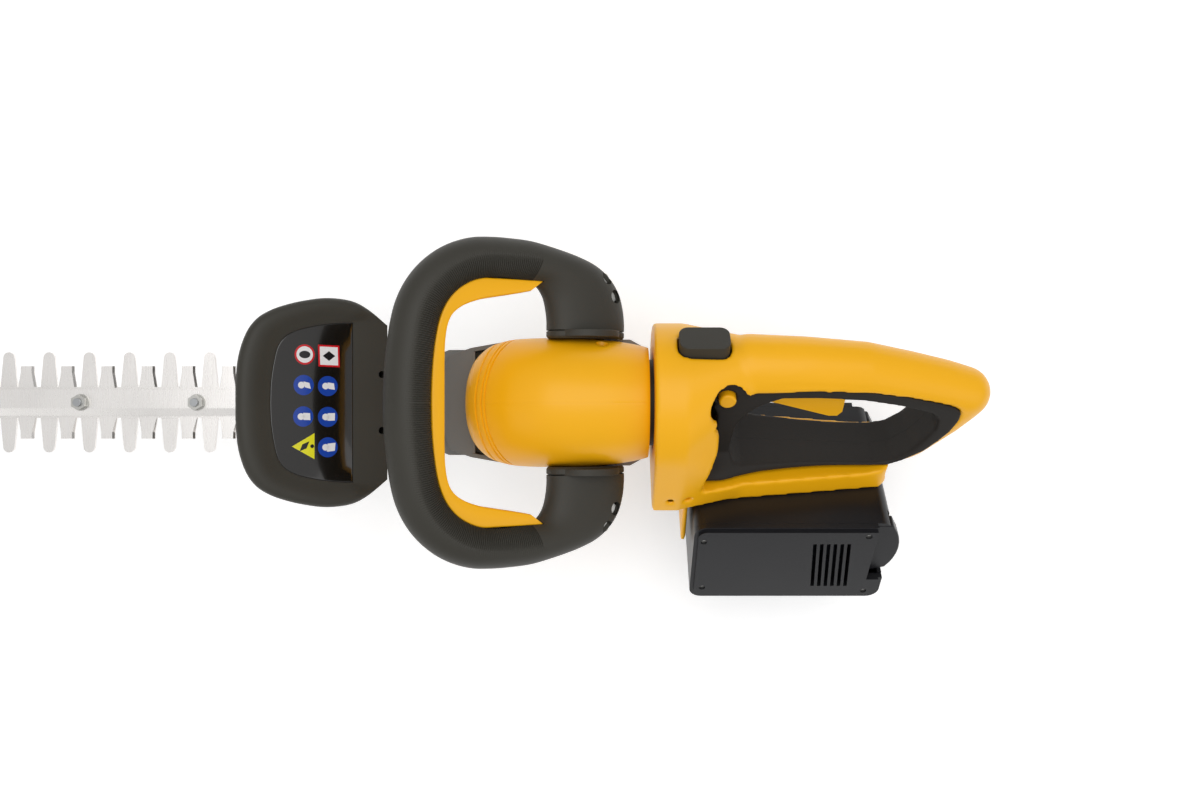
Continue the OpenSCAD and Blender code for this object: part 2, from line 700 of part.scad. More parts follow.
// Squeeze buttons on the rear corners of the pack
module battery_latch(side) color(pack_black) rear_frame() keep_side(side) difference() {
    side_slab(57) polygon(concat([[263, -66], [274, -66]], arc(240, -92, 42, 32, -32, 8), [[263, -118]]));
    mid_box(200, 300, 47, -200, 0);
}
module battery_latch_left() battery_latch(1);
module battery_latch_right() battery_latch(-1);

gear_case();
gear_case_cover();
gear_axle();
axle_clip();
crank_gear();
motor_can();
motor_magnets();
motor_armature();
motor_shaft();
drive_pinion();
bearing_lower();
bearing_upper();
cooling_fan();
upper_blade();
lower_blade();
guide_bar();
bar_screws();
blade_studs();
blade_nuts();
base_housing();
motor_cover_left();
motor_cover_right();
swivel_hub();
guard();
guard_label();
guard_bracket();
handle_collars();
bale_handle_upper();
bale_handle_lower();
front_lever();
front_switch();
lever_springs();
handle_screws();
cover_screws();
rear_housing_left();
rear_housing_right();
grip_ring_left();
grip_ring_right();
trigger();
trigger_pin();
trigger_spring();
main_switch();
lock_off_button();
lock_off_spring();
swivel_lock_button();
swivel_lock_spring();
control_board();
terminal_block();
rear_screws();
battery_case();
battery_cover_left();
battery_cover_right();
battery_cells();
battery_board();
battery_latch_left();
battery_latch_right();
battery_screws();
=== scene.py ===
# %% [markdown]
# # A cordless hedge trimmer, finished round its CAD frame
# The working model already holds every part at its true size and place. This lesson gives it its
# looks: soft moulded shells, ground steel blades, rubber grips, and the plastics they are made of.
# All lengths are in metres, and the tool's long axis is X, with the blades towards -X.

# %% Load the frame
import json
import math
import bpy
from mathutils import Matrix, Vector


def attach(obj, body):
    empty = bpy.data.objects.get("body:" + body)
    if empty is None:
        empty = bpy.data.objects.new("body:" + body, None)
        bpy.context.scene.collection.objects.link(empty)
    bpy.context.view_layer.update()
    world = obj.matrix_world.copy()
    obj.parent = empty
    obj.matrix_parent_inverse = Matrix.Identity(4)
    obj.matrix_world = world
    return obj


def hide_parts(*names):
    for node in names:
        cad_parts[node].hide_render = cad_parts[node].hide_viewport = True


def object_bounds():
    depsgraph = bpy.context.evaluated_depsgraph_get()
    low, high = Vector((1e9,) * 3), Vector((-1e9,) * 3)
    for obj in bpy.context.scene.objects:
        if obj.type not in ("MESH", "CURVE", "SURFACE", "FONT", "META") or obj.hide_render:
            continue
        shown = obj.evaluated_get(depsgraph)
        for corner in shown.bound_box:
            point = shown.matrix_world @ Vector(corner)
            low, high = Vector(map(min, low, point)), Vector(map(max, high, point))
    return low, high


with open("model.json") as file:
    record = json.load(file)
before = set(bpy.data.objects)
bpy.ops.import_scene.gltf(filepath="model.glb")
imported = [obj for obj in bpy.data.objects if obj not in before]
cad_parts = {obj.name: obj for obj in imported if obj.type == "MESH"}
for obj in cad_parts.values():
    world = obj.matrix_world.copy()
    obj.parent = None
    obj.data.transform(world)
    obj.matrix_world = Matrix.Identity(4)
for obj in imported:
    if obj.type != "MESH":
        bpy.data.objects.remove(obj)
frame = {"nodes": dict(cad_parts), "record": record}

cad_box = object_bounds()
print("CAD box", [tuple(round(v, 4) for v in corner) for corner in cad_box])

# %% [markdown]
# ## Driving places
# The rear handle is swivelled 45 degrees about the tool axis, and the wrap-round handle and the
# guard lie in planes of their own. A matrix for each of those planes lets a piece be modelled
# flat and upright, as it would be drawn, and then be set where it belongs.

# %% Planes of the tool
MM = 0.001
REAR = Matrix.Translation((0, 0, 0.060)) @ Matrix.Rotation(math.radians(-45), 4, "X")
LOOP = Matrix.Translation((0.056, 0, 0.062)) @ Matrix.Rotation(math.radians(30), 4, "Y")
GUARD = Matrix.Translation((-0.087, 0, 0.038)) @ Matrix.Rotation(math.radians(30), 4, "Y")
print("planes ready")

# %% [markdown]
# ## Materials, one node at a time
# Every finish is a small node tree. One helper adds a node with its settings and its links, and
# one function turns an sRGB hex colour into the linear numbers that Blender works in.

# %% Colour and node helpers
PLASTIC_MOTTLE = 22.0      # slow patches of tone and gloss on a moulding, about 45 mm across
METAL_MOTTLE = 30.0        # the same on metal, about 33 mm across
GRAIN_RELIEF = 0.0004      # depth of a mould's grain, drawn deeper than real so that it shows
LINE_RELIEF = 0.0002       # depth of grinding lines, also drawn deeper than real


def linear(code):
    """sRGB hex colour, such as 'f0b414', as a linear RGBA tuple."""
    parts = [int(code[i:i + 2], 16) / 255 for i in (0, 2, 4)]
    return tuple(c / 12.92 if c <= 0.04045 else ((c + 0.055) / 1.055) ** 2.4 for c in parts) + (1,)


def add(tree, kind, settings=None, links=None):
    """Add a node; settings name attributes or inputs, links map an input to a source socket."""
    node = tree.nodes.new(kind)
    for key, value in (settings or {}).items():
        if isinstance(key, str) and key not in node.inputs:
            setattr(node, key, value)
        else:
            node.inputs[key].default_value = value
    for key, source in (links or {}).items():
        tree.links.new(source, node.inputs[key])
    return node


def new_finish(name, settings):
    """A new material with one Principled shader; returns the material, its tree and the shader."""
    made = bpy.data.materials.new(name)
    made.use_nodes = True
    shader = made.node_tree.nodes["Principled BSDF"]
    for key, value in settings.items():
        shader.inputs[key].default_value = value
    return made, made.node_tree, shader


def tones(code, vary):
    """A darker and a lighter neighbour of one colour."""
    base = linear(code)
    return [tuple(min(1, c * k) for c in base[:3]) + (1,) for k in (1 - vary, 1 + vary)]


def moulded(name, code, rough, grain_mm=1.6, bump=0.06, vary=0.05, settings=None):
    """Moulded plastic: even colour, a fine spark-eroded grain and slow changes of gloss."""
    made, tree, shader = new_finish(name, settings or {})
    place = add(tree, "ShaderNodeTexCoord").outputs["Object"]
    slow = add(tree, "ShaderNodeTexNoise", {"Scale": PLASTIC_MOTTLE, "Detail": 3.0}, {"Vector": place})
    fine = add(tree, "ShaderNodeTexNoise", {"Scale": 1000 / grain_mm, "Detail": 2.0},
               {"Vector": place})
    dark, light = tones(code, vary)
    tone = add(tree, "ShaderNodeMix", {"data_type": "RGBA", 6: dark, 7: light},
               {0: slow.outputs["Fac"]})
    gloss = add(tree, "ShaderNodeMapRange", {"To Min": rough - 0.06, "To Max": rough + 0.06},
                {"Value": slow.outputs["Fac"]})
    grain = add(tree, "ShaderNodeBump", {"Strength": bump, "Distance": GRAIN_RELIEF},
                {"Height": fine.outputs["Fac"]})
    tree.links.new(tone.outputs[2], shader.inputs["Base Color"])
    tree.links.new(gloss.outputs["Result"], shader.inputs["Roughness"])
    tree.links.new(grain.outputs["Normal"], shader.inputs["Normal"])
    return made


# %% Plastics and rubber
yellow_abs = moulded("yellow_abs", "f9b50a", 0.36, bump=0.04, vary=0.03,
                     settings={"Specular IOR Level": 0.35})
dark_nylon = moulded("dark_grey_nylon", "3a3832", 0.52, bump=0.14, vary=0.10,
                     settings={"Specular IOR Level": 0.3})
grey_nylon = moulded("mid_grey_nylon", "7c7b78", 0.52, bump=0.10, vary=0.06,
                     settings={"Specular IOR Level": 0.3})
grip_rubber = moulded("grip_rubber", "292623", 0.66, bump=0.22, vary=0.10,
                      settings={"Specular IOR Level": 0.25})
pack_abs = moulded("battery_black_abs", "17171a", 0.36, bump=0.08, vary=0.10,
                   settings={"Specular IOR Level": 0.35})
print("plastics", [m.name for m in (yellow_abs, dark_nylon, grey_nylon, grip_rubber, pack_abs)])

# %% [markdown]
# Metals take their colour from what they mirror, so each keeps the default IOR, and its character
# comes from how it was worked: ground blades show fine crosswise lines, cast metal is grainy and
# dull, and turned or plated screws are even and bright.

# %% Metals
def metal(name, code, rough, stretch=(1, 1, 1), line_mm=0.8, bump=0.1, vary=0.08):
    """Metal with fine lines or grain: a stretch below 1 draws them out along that axis."""
    made, tree, shader = new_finish(name, {"Metallic": 1.0})
    place = add(tree, "ShaderNodeTexCoord").outputs["Object"]
    drawn = add(tree, "ShaderNodeMapping", {"Scale": stretch}, {"Vector": place})
    slow = add(tree, "ShaderNodeTexNoise", {"Scale": METAL_MOTTLE, "Detail": 4.0}, {"Vector": place})
    fine = add(tree, "ShaderNodeTexNoise", {"Scale": 1000 / line_mm, "Detail": 3.0},
               {"Vector": drawn.outputs["Vector"]})
    dark, light = tones(code, vary)
    tone = add(tree, "ShaderNodeMix", {"data_type": "RGBA", 6: dark, 7: light},
               {0: slow.outputs["Fac"]})
    gloss = add(tree, "ShaderNodeMapRange", {"To Min": rough - 0.07, "To Max": rough + 0.09},
                {"Value": fine.outputs["Fac"]})
    grain = add(tree, "ShaderNodeBump", {"Strength": bump, "Distance": LINE_RELIEF},
                {"Height": fine.outputs["Fac"]})
    tree.links.new(tone.outputs[2], shader.inputs["Base Color"])
    tree.links.new(gloss.outputs["Result"], shader.inputs["Roughness"])
    tree.links.new(grain.outputs["Normal"], shader.inputs["Normal"])
    return made


blade_steel = metal("ground_blade_steel", "f0edea", 0.27, stretch=(1, 0.05, 1), line_mm=1.2, bump=0.06)
machined_steel = metal("turned_steel", "a9abad", 0.30, stretch=(1, 1, 8), line_mm=1.5)
zinc_screw = metal("zinc_plated_steel", "bdbcb8", 0.34, line_mm=2.0)
copper_winding = metal("copper_winding", "b87444", 0.40, stretch=(6, 6, 1), line_mm=1.2, vary=0.2)
cast_case = moulded("painted_cast_aluminium", "858582", 0.48, grain_mm=1.8, bump=0.16, vary=0.06)
board_green = moulded("circuit_board", "1d5a34", 0.45, grain_mm=3.0, bump=0.15, vary=0.2)
cell_sleeve = moulded("cell_sleeve", "24282e", 0.30, bump=0.03, vary=0.06)
label_gloss = moulded("gloss_black_label", "14110e", 0.12, grain_mm=4.0, bump=0.01, vary=0.1,
                      settings={"Coat Weight": 0.6, "Coat Roughness": 0.05})
print("metals and small finishes ready")

# %% [markdown]
# ## Finishes for the CAD nodes
# The record names a material slot for each node. Every node gets the finish of its slot, the
# hidden ones inside as well, so that nothing is left plain when the battery slides out.

# %% Paint the frame
FINISH = {"yellow_abs": yellow_abs, "dark_nylon": dark_nylon, "grey_nylon": grey_nylon,
          "grip_rubber": grip_rubber, "pack_plastic": pack_abs, "cast_case": cast_case,
          "blade_steel": blade_steel, "machined_steel": machined_steel, "zinc_screw": zinc_screw,
          "copper_winding": copper_winding, "label_gloss": label_gloss, "board_green": board_green,
          "cell_sleeve": cell_sleeve}
SLOT_OF = {part["node"]: part["material_slot"] for part in frame["record"]["subparts"]}
for node_name, node in frame["nodes"].items():
    for place in node.material_slots:
        place.material = FINISH[SLOT_OF[node_name]]
print(len(frame["nodes"]), "nodes painted")

# %% [markdown]
# ## Camera, floor and light
# The tool is seen from straight above. The floor is a plain pale sheet below the battery. It glows
# faintly, which stands in for the light that a white studio throws back on it. A broad soft
# light from overhead and a bright surround keep the shadows faint, and the surround is also what
# the ground steel mirrors.

# %% Camera and floor
EYE = (0.0665, 0.0018, 0.860)              # 800 mm above the tool axis, looking straight down
LENS_MM = 34.29                            # spans 840 mm at the height of the tool axis
FLOOR_SIZE, FLOOR_GAP = 8, 0.002           # a sheet that fills the view, just below the battery
FLOOR_GLOW = 0.34
bpy.ops.object.select_all(action="DESELECT")
bpy.ops.object.camera_add(location=EYE, rotation=(0, 0, 0))
camera = bpy.context.object
camera.data.sensor_width = 36
camera.data.lens = LENS_MM
camera.data.clip_start = 0.01
bpy.context.scene.camera = camera
bpy.ops.mesh.primitive_plane_add(size=FLOOR_SIZE, location=(0, 0, cad_box[0].z - FLOOR_GAP))
floor = bpy.context.object
floor.name = "floor"
floor_paper, paper_tree, paper_shader = new_finish(
    "matt_white_paper", {"Roughness": 0.9, "Specular IOR Level": 0.2,
                         "Emission Strength": FLOOR_GLOW, "Emission Color": (1, 1, 1, 1)})
paper_place = add(paper_tree, "ShaderNodeTexCoord").outputs["Object"]
paper_mottle = add(paper_tree, "ShaderNodeTexNoise", {"Scale": 40.0}, {"Vector": paper_place})
paper_tone = add(paper_tree, "ShaderNodeMix",
                 {"data_type": "RGBA", 6: linear("f6f6f6"), 7: linear("fbfbfb")},
                 {0: paper_mottle.outputs["Fac"]})
paper_tree.links.new(paper_tone.outputs[2], paper_shader.inputs["Base Color"])
floor.data.materials.append(floor_paper)

# %% Light
SKY_LOW, SKY_HIGH = 0.30, 0.78             # strength of the surround at the horizon and overhead


def softbox(name, place, target, size, power):
    """A square soft light at a place, turned to a target, with its power in watts."""
    bpy.ops.object.light_add(type="AREA", location=place)
    lamp = bpy.context.object
    lamp.name = name
    lamp.data.shape = "SQUARE"
    lamp.data.size = size
    lamp.data.energy = power
    lamp.rotation_euler = (Vector(target) - Vector(place)).to_track_quat("-Z", "Y").to_euler()


softbox("overhead", (0.1, 0.35, 1.7), (0, 0, 0), 1.3, 9)
softbox("rear_fill", (1.3, -0.6, 0.9), (0.1, 0, 0), 1.0, 2)
softbox("front_fill", (-1.3, -0.9, 0.9), (-0.2, 0, 0), 1.0, 2)
world = bpy.data.worlds.new("studio")
world.use_nodes = True
sky = world.node_tree
sky.nodes["Background"].inputs["Color"].default_value = (1, 1, 1, 1)
direction = add(sky, "ShaderNodeTexCoord").outputs["Generated"]
height = add(sky, "ShaderNodeSeparateXYZ", {}, {"Vector": direction})
glow = add(sky, "ShaderNodeMapRange",
           {"From Min": 0.05, "From Max": 0.95, "To Min": SKY_LOW, "To Max": SKY_HIGH},
           {"Value": height.outputs["Z"]})
sky.links.new(glow.outputs["Result"], sky.nodes["Background"].inputs["Strength"])
bpy.context.scene.world = world
bpy.context.scene.view_settings.view_transform = "Standard"
print("stage ready")

# %% [markdown]
# ## Working helpers
# Most shells start as a copy of their CAD node. The copy's loose triangles are merged, flat
# fields are dissolved into whole faces, and the sharp corners get the small radius that every
# moulded or cast part has.

# %% Helpers for pieces
def only_nothing():
    """Leave edit mode and deselect everything."""
    if bpy.context.mode != "OBJECT":
        bpy.ops.object.mode_set(mode="OBJECT")
    bpy.ops.object.select_all(action="DESELECT")


def only(obj):
    """Leave edit mode and make one object the selected and active one."""
    only_nothing()
    obj.select_set(True)
    bpy.context.view_layer.objects.active = obj


def modify(obj, kind, **settings):
    """Add a modifier with its settings and apply it."""
    only(obj)
    change = obj.modifiers.new(kind.lower(), kind)
    for key, value in settings.items():
        setattr(change, key, value)
    bpy.ops.object.modifier_apply(modifier=change.name)


def dress(obj, body, finish, slot, *nodes, angle=35):
    """Smooth shading, finish, body and the CAD nodes that a finished piece stands for; slot is not used.
    """
    only(obj)
    bpy.ops.object.shade_smooth_by_angle(angle=math.radians(angle))
    if finish:
        obj.data.materials.clear()
        obj.data.materials.append(finish)
    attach(obj, body)
    if nodes:
        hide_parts(*nodes)
    print(obj.name, len(obj.data.polygons), "faces")


def cad_copy(node, name):
    """A merged, dissolved copy of a CAD node's mesh as a new object."""
    obj = bpy.data.objects.new(name, frame["nodes"][node].data.copy())
    bpy.context.scene.collection.objects.link(obj)
    only(obj)
    bpy.ops.object.mode_set(mode="EDIT")
    bpy.ops.mesh.select_all(action="SELECT")
    bpy.ops.mesh.remove_doubles(threshold=0.00001)
    bpy.ops.mesh.dissolve_limited(angle_limit=math.radians(1))
    bpy.ops.object.mode_set(mode="OBJECT")
    return obj


def softened(node, name, radius_mm, body, segments=3):
    """A copy of a CAD node with rounded edges, in the finish of its slot."""
    obj = cad_copy(node, name)
    modify(obj, "BEVEL", width=radius_mm * MM, segments=segments, limit_method="ANGLE",
           angle_limit=math.radians(40), use_clamp_overlap=True)
    dress(obj, body, FINISH[SLOT_OF[node]], SLOT_OF[node], node)
    modify(obj, "WEIGHTED_NORMAL", keep_sharp=True, weight=90)
    return obj


# %% [markdown]
# ## Lofted skins
# The motor cover, the wrap-round handle and the lever are all lofts: a section that changes as
# it travels. A flat grid is the easiest start, because its rows become the sections and its
# columns run round them, and rows can be packed closely wherever a groove or a rib is wanted.

# %% Loft helper
def loft(name, rows, around, point):
    """Wrap a grid into a closed tube: point(row, turn) places a corner, turn runs from 0 to 1."""
    only_nothing()
    bpy.ops.mesh.primitive_grid_add(x_subdivisions=len(rows) - 1, y_subdivisions=around, size=1,
                                    location=(0, 0, 0))
    obj = bpy.context.object
    obj.name = name
    last = len(rows) - 1
    for corner in obj.data.vertices:
        row = rows[min(last, max(0, round((corner.co.x + 0.5) * last)))]
        corner.co = point(row, (corner.co.y + 0.5) % 1.0)
    bpy.ops.object.mode_set(mode="EDIT")
    bpy.ops.mesh.select_all(action="SELECT")
    bpy.ops.mesh.remove_doubles(threshold=0.000002)
    bpy.ops.mesh.fill_holes(sides=0)
    bpy.ops.mesh.select_all(action="SELECT")
    bpy.ops.mesh.normals_make_consistent(inside=False)
    bpy.ops.object.mode_set(mode="OBJECT")
    return obj


def blend_rows(stops, t):
    """A smooth Catmull-Rom value through the stops, each a tuple that starts with its place t."""
    i = max(0, min(len(stops) - 2, sum(1 for s in stops if s[0] <= t) - 1))
    before, a = stops[max(0, i - 1)], stops[i]
    b, after = stops[i + 1], stops[min(len(stops) - 1, i + 2)]
    span = b[0] - a[0]
    k = (t - a[0]) / span
    out = []
    for pb, pa, pc, pd in zip(before[1:], a[1:], b[1:], after[1:]):
        ma = (pc - pb) / max(1e-9, b[0] - before[0]) * span if before is not a else pc - pa
        mb = (pd - pa) / max(1e-9, after[0] - a[0]) * span if after is not b else pc - pa
        out.append((2 * k**3 - 3 * k**2 + 1) * pa + (k**3 - 2 * k**2 + k) * ma
                   + (3 * k**2 - 2 * k**3) * pc + (k**3 - k**2) * mb)
    return out


def ripple(value, power):
    """A signed power, for superellipse sections."""
    return math.copysign(abs(value) ** power, value)


def cut_away(obj, place, normal, fill=True):
    """Bisect and clear the side that the normal points to."""
    only(obj)
    bpy.ops.object.mode_set(mode="EDIT")
    bpy.ops.mesh.select_all(action="SELECT")
    bpy.ops.mesh.bisect(plane_co=place, plane_no=normal, use_fill=fill, clear_outer=True)
    bpy.ops.object.mode_set(mode="OBJECT")


def twin(obj, name):
    """A second object with its own copy of the mesh."""
    other = bpy.data.objects.new(name, obj.data.copy())
    bpy.context.scene.collection.objects.link(other)
    return other


def seam_halves(obj, names, place, normal):
    """Split a closed piece at its parting plane; returns the halves behind and before the normal."""
    other = twin(obj, names[1])
    obj.name = names[0]
    cut_away(obj, place, normal)
    cut_away(other, place, -Vector(normal))
    return obj, other


def carve(obj, cutter):
    """Boolean difference, then the cutter is removed."""
    modify(obj, "BOOLEAN", object=cutter, operation="DIFFERENCE", solver="EXACT")
    bpy.data.objects.remove(cutter)


def rod(name, radius, start, end, vertices=32, frame_of=Matrix.Identity(4)):
    """A round cutter or pin between two points, in millimetres of a driving plane."""
    only_nothing()
    a, b = frame_of @ (Vector(start) * MM), frame_of @ (Vector(end) * MM)
    bpy.ops.mesh.primitive_cylinder_add(vertices=vertices, radius=radius * MM, depth=(b - a).length,
                                        location=(a + b) / 2)
    obj = bpy.context.object
    obj.name = name
    obj.rotation_euler = (b - a).to_track_quat("Z", "Y").to_euler()
    bpy.ops.object.transform_apply(location=True, rotation=True, scale=True)
    return obj


# %% [markdown]
# ## Motor cover
# The front shell is a blunt dome in two halves with a lengthwise parting line. Three fine grooves
# sweep back round its nose. The rows of the loft lean back at the sides, so that whole rows lie
# along the grooves and can simply be sunk.

# %% Motor cover form
COVER = [(-27.6, 0, 0), (-27.3, 7.5, 6), (-25.9, 17.1, 13), (-21.9, 27.7, 20.5), (-14.1, 36.5, 28),
         (-6.2, 41.0, 33.5), (5.6, 44.0, 40), (23.1, 45.1, 46), (35, 45.2, 48), (52.5, 45.1, 47.6),
         (72.1, 43.6, 45.6), (87.1, 41.5, 43.2), (97, 39.4, 41.4), (100, 38.4, 40.4)]
LEAN = [(-27.6, 0), (-18, 15.5), (-12, 22.4), (0, 24.0), (20, 22), (45, 14), (70, 5), (100, 0)]
GROOVES = (-18.2, -14.1, -11.6)              # places of the three grooves along the ridge
GROOVE_LIP, GROOVE_FLOOR, GROOVE_CLEAR = 0.65, 0.3, 0.9   # half widths: mouth, floor, no other rows
NOSE, NOSE_RUN = -27.6, 9                    # tip of the dome, and length of its packed rows
SIDE_START, COVER_END = -9, 100              # the evenly spaced rows run between these
COVER_COLUMNS, COVER_AXIS = 96, 58           # columns round the dome, height of its middle
COVER_WALL = 3


def cover_rows():
    """Stations along the middle, close together at the nose and at each groove."""
    stops = [NOSE + NOSE_RUN * (i / 14) ** 2 for i in range(15)]
    stops += [SIDE_START + (COVER_END - SIDE_START) * i / 44 for i in range(45)]
    stops = [s for s in stops if all(abs(s - g) > GROOVE_CLEAR for g in GROOVES)]
    rows = [(s, 0.0) for s in stops]
    for g in GROOVES:
        rows += [(g - GROOVE_LIP, 0.0), (g - GROOVE_FLOOR, 1.0),
                 (g + GROOVE_FLOOR, 1.0), (g + GROOVE_LIP, 0.0)]
    return sorted(rows)


def cover_point(row, turn):
    """A corner of the dome; columns stand half a step off, so that none lies on the parting plane."""
    x, sink = row
    angle = (turn + 0.5 / COVER_COLUMNS) * 2 * math.pi
    up = math.sin(angle)
    place = x + blend_rows(LEAN, x)[0] * (1 - max(0.0, up))
    wide, high = blend_rows(COVER, place)
    wide, high = max(0.0, wide), max(0.0, high)
    fade = max(0.0, min(1.0, (up + 0.12) / 0.2))
    shrink = 1 - sink * fade / max(12, wide)
    if up < 0:
        high = wide * 0.95
    return Vector((place, wide * math.cos(angle) * shrink, COVER_AXIS + high * up * shrink)) * MM


cover = loft("motor_cover", cover_rows(), COVER_COLUMNS, cover_point)
cut_away(cover, (0, 0, 0.0441), (0, 0, -1), fill=False)
print("dome", len(cover.data.polygons))

# %% Motor cover shells
modify(cover, "SOLIDIFY", thickness=COVER_WALL * MM, offset=-1, use_even_offset=False)
carve(cover, rod("hub_hole", 30.05, (80, 0, 60), (110, 0, 60), 96))
carve(cover, rod("screw_recess", 4.4, (68, 37.9, 76), (68, 60, 76)))
right, left = seam_halves(cover, ("motor_shell_right", "motor_shell_left"), (0, 0, 0), (0, 1, 0))
for half, node_name in ((right, "motor_cover_right"), (left, "motor_cover_left")):
    modify(half, "BEVEL", width=0.45 * MM, segments=2, limit_method="ANGLE",
           angle_limit=math.radians(60))
    dress(half, "housing", yellow_abs, "yellow_abs", node_name, angle=30)

# %% [markdown]
# ## Wrap-round handle
# One tube runs round the front and widens into two broad arms at the sides of the motor housing.
# Each row of its loft spans from an outer edge to an inner edge. The inner half carries fine
# ribs across the tube for grip, so the rows there are only a third of a millimetre apart.

# %% Handle path
BOW, CORNER, TURN = 270, 53, 11.1          # radii of the bowed front bar and corners, bar's half arc
BOW_X, CORNER_Y = BOW - 130.5, 95 - CORNER
SIDE_X = BOW_X - (BOW - CORNER) * math.cos(math.radians(TURN))
RIB_PITCH, RIB_DEPTH, RIBBED_TO = 1.45, 0.8, 158     # ribs, up to this distance from the front
PLAIN_STEP = 2.2                           # spacing of the rows where the tube is plain
TUBE_COLUMNS, CORE_COLUMNS, HANDLE_WALL = 44, 32, 3.0


def track(outer, inner, tail, tall=15.5):
    """Stops along half of the loop between two offsets from its middle line, outwards positive."""
    arcs = [(BOW_X, 0, BOW, 180 - TURN * i / 4) for i in range(4)]
    arcs += [(SIDE_X, CORNER_Y, CORNER, 180 - TURN - (90 - TURN) * i / 8) for i in range(9)]
    rows = []
    for cx, cy, r, turn in arcs:
        a = math.radians(turn)
        rows.append((cx + (r + outer) * math.cos(a), cy + (r + outer) * math.sin(a),
                     cx + (r + inner) * math.cos(a), cy + (r + inner) * math.sin(a), tall))
    rows += tail
    stops, run = [], 0.0
    for i, row in enumerate(rows):
        if i:
            old = rows[i - 1]
            run += math.hypot((row[0] + row[2] - old[0] - old[2]) / 2,
                              (row[1] + row[3] - old[1] - old[3]) / 2)
        stops.append((run,) + row)
    return stops


ARM = [(-62, 110.6, -63, 79.5, 15.5), (-43, 109.6, -50, 79.6, 15.5), (-22, 105.4, -41, 79.9, 15.4),
       (-6, 101, -37, 78.9, 15.2), (7.3, 95.6, -34.2, 75.9, 15), (17.5, 88, -31.9, 71.8, 14.8),
       (25, 77.5, -30.3, 66.5, 14.6), (28.6, 66, -29.3, 61, 14.5), (29.8, 56, -28.8, 55.5, 14.5),
       (29.8, 49.9, -28.8, 49.9, 14.5)]
HANDLE = track(15.5, -15.5, ARM)


def handle_rows(pitch, ribbed_to, step):
    """Distances along the whole loop, closer where it is ribbed, each with its rib depth."""
    half, d, i = [], 0.0, 0
    while d < HANDLE[-1][0]:
        ribbed = d < ribbed_to
        half.append((d, (0.0, 0.0, RIB_DEPTH, RIB_DEPTH)[i % 4] if ribbed else 0.0))
        d += pitch / 4 if ribbed else step
        i += 1
    half.append((HANDLE[-1][0], 0.0))
    return [(-d, rib) for d, rib in reversed(half[1:])] + half


def tube_point(stops, around, wall=0.0):
    """A corner of the handle tube, half a step off its parting plane; turn 0 is the outer edge."""
    def point(row, turn):
        d, rib = row
        ox, oy, ix, iy, tall = blend_rows(stops, min(abs(d), stops[-1][0]))
        angle = (turn + 0.5 / around) * 2 * math.pi
        power = 1 - 0.16 * max(0.0, min(1.0, (abs(d) - 170) / 40))
        across, up = ripple(math.cos(angle), power), ripple(math.sin(angle), power)
        sink = rib * max(0.0, min(1.0, -math.cos(angle) * 2.5 + 0.9))
        middle = Vector(((ox + ix) / 2, (oy + iy) / 2))
        reach = Vector(((ox - ix) / 2, (oy - iy) / 2))
        reach *= 1 - (sink + wall) / reach.length
        spot = middle + reach * across
        side_y = spot.y if d >= 0 else -spot.y
        return LOOP @ (Vector((spot.x, side_y, (tall - sink - wall) * up)) * MM)
    return point


handle = loft("handle", handle_rows(RIB_PITCH, RIBBED_TO, PLAIN_STEP), TUBE_COLUMNS,
              tube_point(HANDLE, TUBE_COLUMNS))
core_end = HANDLE[-1][0] - 3
core_rows = [(core_end * i / 36, 0.0) for i in range(-36, 37)]
core = loft("handle_core", core_rows, CORE_COLUMNS, tube_point(HANDLE, CORE_COLUMNS, HANDLE_WALL))
only(core)
bpy.ops.object.mode_set(mode="EDIT")
bpy.ops.mesh.select_all(action="SELECT")
bpy.ops.mesh.flip_normals()
bpy.ops.object.mode_set(mode="OBJECT")
only(handle)
core.select_set(True)
bpy.ops.object.join()
print("handle", len(handle.data.polygons), "faces, path", round(HANDLE[-1][0], 1), "mm")

# %% [markdown]
# ## Front lever
# The yellow lever is a U-shaped bar let into the inner side of the handle. It is a loft along
# the same path, and a slightly larger one cuts its slot for the 4 mm of travel. At the far end
# of that travel the bar's wide corners are tight in the slot.

# %% Lever and its slot
BAR_SQUARENESS = 0.22                      # power of the superellipse: 1 is round, 0 is square
BAR_TALL, SLOT_TALL, BAR_STEP = 9, 9.4, 3  # half heights of lever and slot, spacing of the rows


def bar_point(stops, tall):
    """A corner of a nearly square bar."""
    def point(row, turn):
        ox, oy, ix, iy, _ = blend_rows(stops, min(abs(row), stops[-1][0]))
        angle = turn * 2 * math.pi + math.pi / 4
        across = ripple(math.cos(angle), BAR_SQUARENESS)
        up = ripple(math.sin(angle), BAR_SQUARENESS)
        middle = Vector(((ox + ix) / 2, (oy + iy) / 2))
        spot = middle + Vector(((ox - ix) / 2, (oy - iy) / 2)) * across
        return LOOP @ (Vector((spot.x, spot.y if row >= 0 else -spot.y, tall * up)) * MM)
    return point


def measured(pairs):
    """Stops from pairs of an outer and an inner spot, with the lever's half height."""
    stops, run = [], 0.0
    for i, (ox, oy, ix, iy) in enumerate(pairs):
        if i:
            old = pairs[i - 1]
            run += math.hypot((ox + ix - old[0] - old[2]) / 2, (oy + iy - old[1] - old[3]) / 2)
        stops.append((run, ox, oy, ix, iy, 9))
    return stops


def even_rows(stops, step):
    """Evenly spaced distances along the whole loop."""
    count = round(stops[-1][0] / step)
    return [stops[-1][0] * i / count for i in range(-count, count + 1)]


